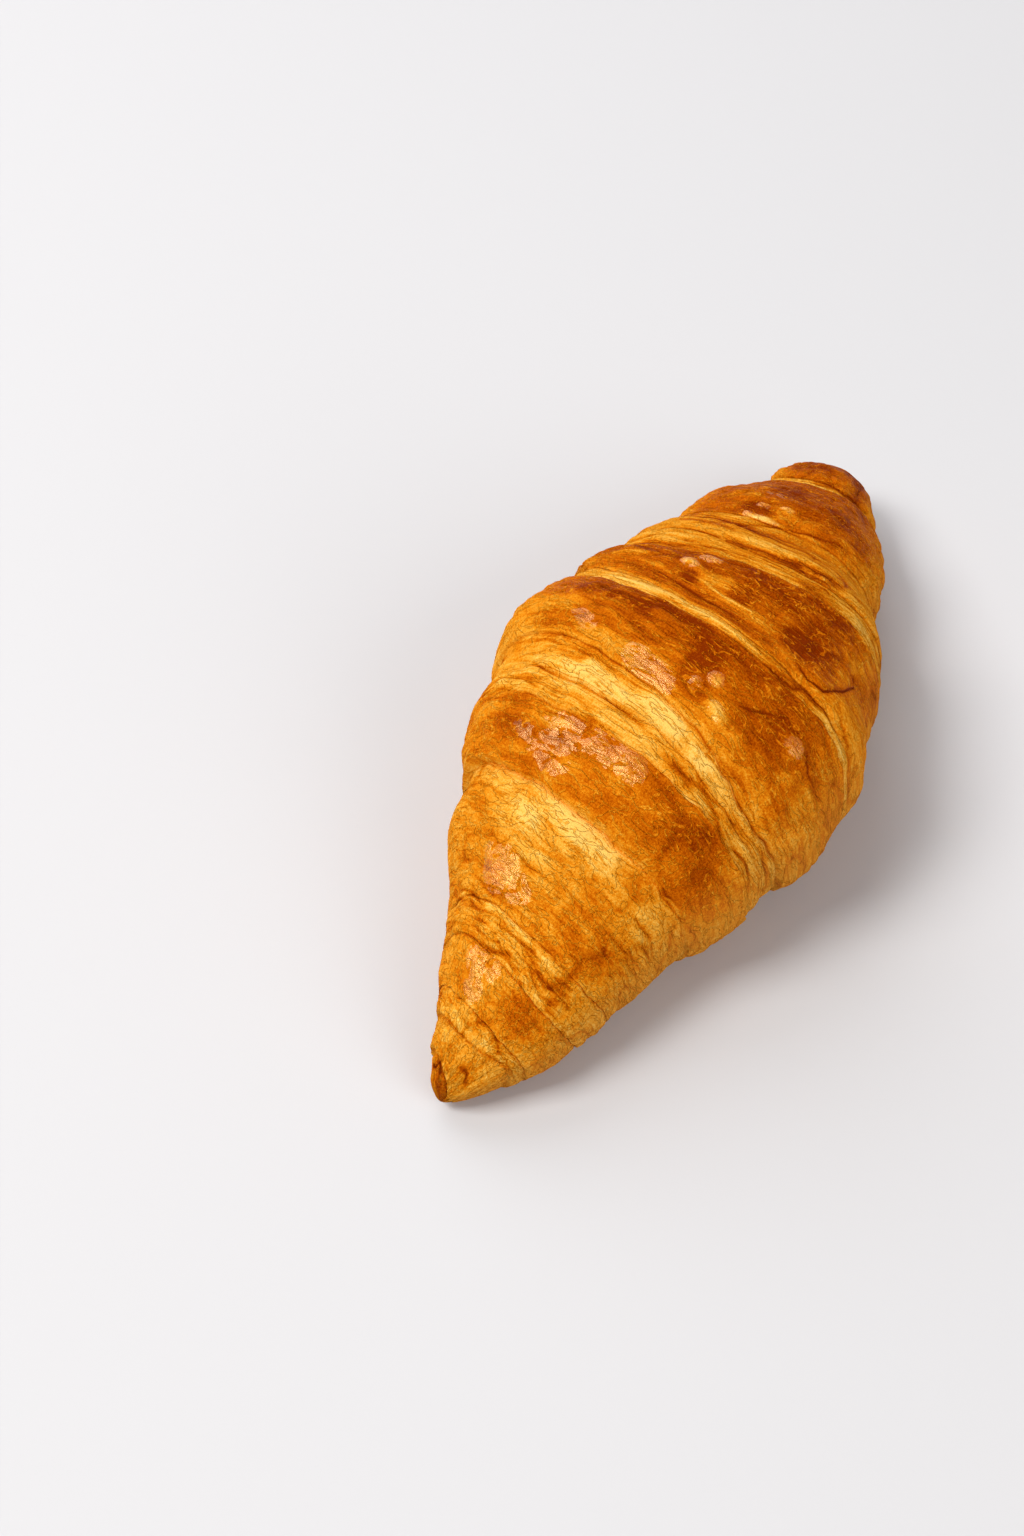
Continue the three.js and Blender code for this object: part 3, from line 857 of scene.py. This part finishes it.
# Egg-washed crust: thin baked dough, satin where it is pale and glossy brown on the crowns
def eggWashedCrust():
    material, tree, shader = newMaterial("eggWashedCrust")

    def calculate(operation, first, second, third=0.0):
        node = addNode(tree, "ShaderNodeMath", {"operation": operation}, {0: first, 1: second, 2: third})
        return node.outputs["Value"]

    def mapped(value, ends, results=(0.0, 1.0)):
        node = addNode(tree, "ShaderNodeMapRange", None, {
            "Value": value, "From Min": ends[0], "From Max": ends[1],
            "To Min": results[0], "To Max": results[1]})
        return node.outputs["Result"]

    # noise from about -0.3 to 0.3
    def grain(source, name):
        across, lengthwise, detail, roughness, swirl = grains[name]
        stretch = addNode(tree, "ShaderNodeMapping", None, {
            "Vector": source, "Scale": (1 / (across * mm), 1 / (lengthwise * mm), 1 / (lengthwise * mm))})
        noise = addNode(tree, "ShaderNodeTexNoise", None, {
            "Vector": stretch.outputs["Vector"], "Scale": 1.0, "Detail": detail,
            "Roughness": roughness, "Distortion": swirl})
        return calculate("SUBTRACT", noise.outputs["Fac"], 0.5)

    # 1 on the zero line of a pattern, falling to 0 at its half width
    def thinLine(pattern, name):
        return mapped(calculate("ABSOLUTE", pattern, 0.0), (0.0, lineWidths[name]), (1.0, 0.0))

    coat = {}
    for name in singleCoats:
        coat[name] = addNode(tree, "ShaderNodeAttribute", {"attribute_name": name}).outputs["Fac"]
    flow = addNode(tree, "ShaderNodeAttribute", {"attribute_name": "wrapFlow"}).outputs["Vector"]
    space = addNode(tree, "ShaderNodeTexCoord").outputs["Object"]
    layered, brown = coat["layered"], coat["brown"]
    strokes = grain(flow, "strokes")
    wrinkle = thinLine(grain(flow, "creasing"), "creasing")

    # dark lines where layers part and along folds, painted shade in the valleys between blisters, and
    # browner islands
    broadLine = thinLine(coat["broadLayers"], "broadLayers")
    fineLine = thinLine(coat["thinLayers"], "thinLayers")
    layerLine = calculate("MULTIPLY_ADD", fineLine, 0.6, broadLine)
    threadShare = calculate("MULTIPLY_ADD", layered, 0.85, 0.15)
    pattern = {
        "threads": calculate("MULTIPLY", grain(flow, "threads"), threadShare),
        "strokes": strokes,
        "specks": grain(space, "specks"),
        "line": calculate("MULTIPLY", layerLine, layered),
        "hair": calculate("MULTIPLY", thinLine(grain(flow, "hairLines"), "hairLines"), layered),
        "valleyShade": thinLine(coat["wrinkles"], "wrinkles"),
        "fold": calculate("MULTIPLY", thinLine(coat["foldGap"], "foldGap"), coat["foldBrown"]),
        "island": mapped(calculate("ADD", grain(flow, "islands"), brown), finish["islandEdge"]),
        "wrinkle": wrinkle,
    }

    # fine wrinkles get painted shade on pale skin and painted highlights on brown
    wrinkleLightAndShade = calculate("MULTIPLY", wrinkle, calculate("MULTIPLY_ADD", brown, -0.8, 0.27))
    shade = calculate("ADD", brown, wrinkleLightAndShade)
    height = 0.0
    for name, (tint, relief) in weights.items():
        if tint != 0:
            shade = calculate("MULTIPLY_ADD", pattern[name], tint, shade)
        if relief != 0:
            height = calculate("MULTIPLY_ADD", pattern[name], relief, height)
    shade = calculate("SUBTRACT", shade, finish["paler"])
    ramp = addNode(tree, "ShaderNodeValToRGB", None, {"Fac": shade})
    elements = ramp.color_ramp.elements
    while len(elements) < len(finish["stops"]):
        elements.new(0.5)
    for number, (element, colour) in enumerate(zip(elements, finish["stops"])):
        element.position = number / (len(finish["stops"]) - 1)
        element.color = linear(colour)
    drySkin = calculate("MULTIPLY", coat["dry"], finish["dryShare"])
    tanned = addNode(tree, "ShaderNodeMix", {"data_type": "RGBA"}, {
        "Factor": drySkin, "A": ramp.outputs["Color"], "B": linear(finish["dryCrust"])})
    tree.links.new(tanned.outputs["Result"], shader.inputs["Base Color"])

    # the wash lies in crisp smooth patches on the crowns, and the rest is satin or dry
    patch = calculate("MULTIPLY_ADD", strokes, 1.2, coat["sheen"])
    patch = mapped(calculate("MULTIPLY_ADD", wrinkle, -0.35, patch), finish["patchEdge"])
    satin = mapped(coat["gloss"], (0.0, 1.0), finish["satinRoughness"])
    rough = addNode(tree, "ShaderNodeMix", {"data_type": "FLOAT"}, {
        "Factor": patch, "A": satin, "B": finish["washRoughness"]})
    tree.links.new(rough.outputs["Result"], shader.inputs["Roughness"])
    shine = mapped(coat["gloss"], (0.0, 1.0), (0.0, finish["satinShine"]))
    shine = calculate("MULTIPLY_ADD", patch, finish["washShine"], shine)
    tree.links.new(shine, shader.inputs["Specular IOR Level"])
    shader.inputs["Specular Tint"].default_value = linear(finish["glaze"])
    shader.inputs["IOR"].default_value = 1.45

    reliefLeft = calculate("MULTIPLY_ADD", patch, -finish["washSmoothness"], 1.0)
    height = calculate("MULTIPLY", height, reliefLeft)
    bump = addNode(tree, "ShaderNodeBump", None, {"Strength": 1.0, "Distance": mm, "Height": height})
    tree.links.new(bump.outputs["Normal"], shader.inputs["Normal"])
    return material


# Matt white table top
def paleTable():
    material, tree, shader = newMaterial("paleTable")
    shader.inputs["Base Color"].default_value = linear("#CFCED1")
    shader.inputs["Roughness"].default_value = 0.8
    return material


# Floor just under the resting plane, so that the two faces don't meet
def makeFloor():
    gap = 0.0002
    bpy.ops.mesh.primitive_plane_add(size=6.0, location=(0, 0, -gap))
    floor = bpy.context.object
    floor.name = "floor"
    floor.data.materials.append(paleTable())


# Soft lights, in metres and watts
lights = {
    "key": {"place": (-0.62, 0.72, 1.25), "size": (0.7, 0.7), "power": 19.6, "colour": "#FFFEFA"},
    "window": {"place": (0.85, 1.10, 1.12), "size": (1.5, 1.3), "power": 17.0, "colour": "#FFFFFF"},
    "fill": {"place": (-0.48, -1.44, 0.96), "size": (1.4, 1.1), "power": 15.5, "colour": "#FFFDF8"},
}
room = {"colour": "#F4F4F6", "strength": 0.28}


def lookAt(thing, target):
    direction = Vector(target) - thing.location
    thing.rotation_euler = direction.to_track_quat("-Z", "Y").to_euler()


def makeLights():
    for name, light in lights.items():
        bpy.ops.object.light_add(type="AREA", location=light["place"])
        lamp = bpy.context.object
        lamp.name = name
        lamp.data.shape = "RECTANGLE"
        lamp.data.size, lamp.data.size_y = light["size"]
        lamp.data.energy = light["power"]
        lamp.data.color = linear(light["colour"])[:3]
        lookAt(lamp, (0, 0, 0.02))
    world = bpy.data.worlds.new("paleRoom")
    world.use_nodes = True
    background = world.node_tree.nodes["Background"]
    background.inputs["Color"].default_value = linear(room["colour"])
    background.inputs["Strength"].default_value = room["strength"]
    bpy.context.scene.world = world


view = {
    "camera": (-0.3364, -0.1407, 0.4446),
    "target": (-0.0116, 0.0317, 0.0),
    "lens": 65.6,
    "sensor": 36.0,
}


def makeCamera():
    bpy.ops.object.camera_add(location=view["camera"])
    camera = bpy.context.object
    camera.data.lens = view["lens"]
    camera.data.sensor_width = view["sensor"]
    camera.data.clip_start = 0.01
    lookAt(camera, view["target"])
    bpy.context.scene.camera = camera


makeFloor()
makeLights()
makeCamera()
print("stage, lights and camera ready")

croissantCrust = makeCrust()
croissantCrust.data.materials.append(eggWashedCrust())
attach(croissantCrust, "root")
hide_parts("croissant")
print("crust ready:", len(croissantCrust.data.polygons), "faces")

bpy.context.scene.view_settings.view_transform = "Standard"
